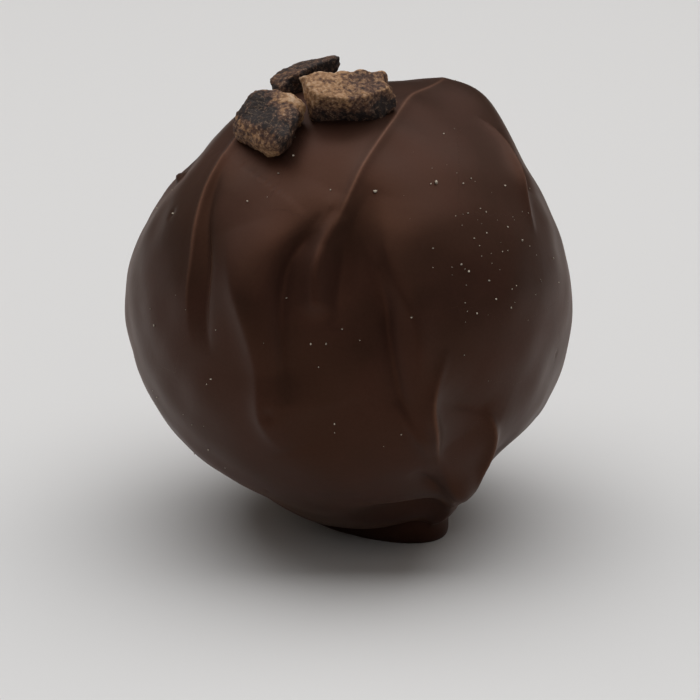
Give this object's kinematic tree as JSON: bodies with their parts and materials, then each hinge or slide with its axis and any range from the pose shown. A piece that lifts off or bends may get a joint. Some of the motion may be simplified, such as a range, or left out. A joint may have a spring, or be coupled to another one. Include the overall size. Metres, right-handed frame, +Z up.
{
  "type": "nougat praline",
  "caption": "Hand-dipped ball of dark chocolate over a nougat filling, with draped folds in its coat and broken cocoa nibs set on top.",
  "frame": {"origin": "middle of the foot's level: the centre of the bounding box, at its bottom", "axes": "+Z up as the praline stands on its foot, -Y is the front with the web and scoop low on its +X side"},
  "size_m": [0.03, 0.0302, 0.0325],
  "materials": {
    "dark_chocolate": "satin dark chocolate, unpolished, as it sets after dipping",
    "nib_left": "rough roasted cocoa nib, dark brown with a paler crust",
    "nib_right": "rough roasted cocoa nib, tan and brown",
    "nib_back": "rough roasted cocoa nib, grey brown"
  },
  "bodies": {
    "root": {"coat": "dark_chocolate", "nib_left": "nib_left", "nib_right": "nib_right", "nib_back": "nib_back"}
  },
  "joints": []
}
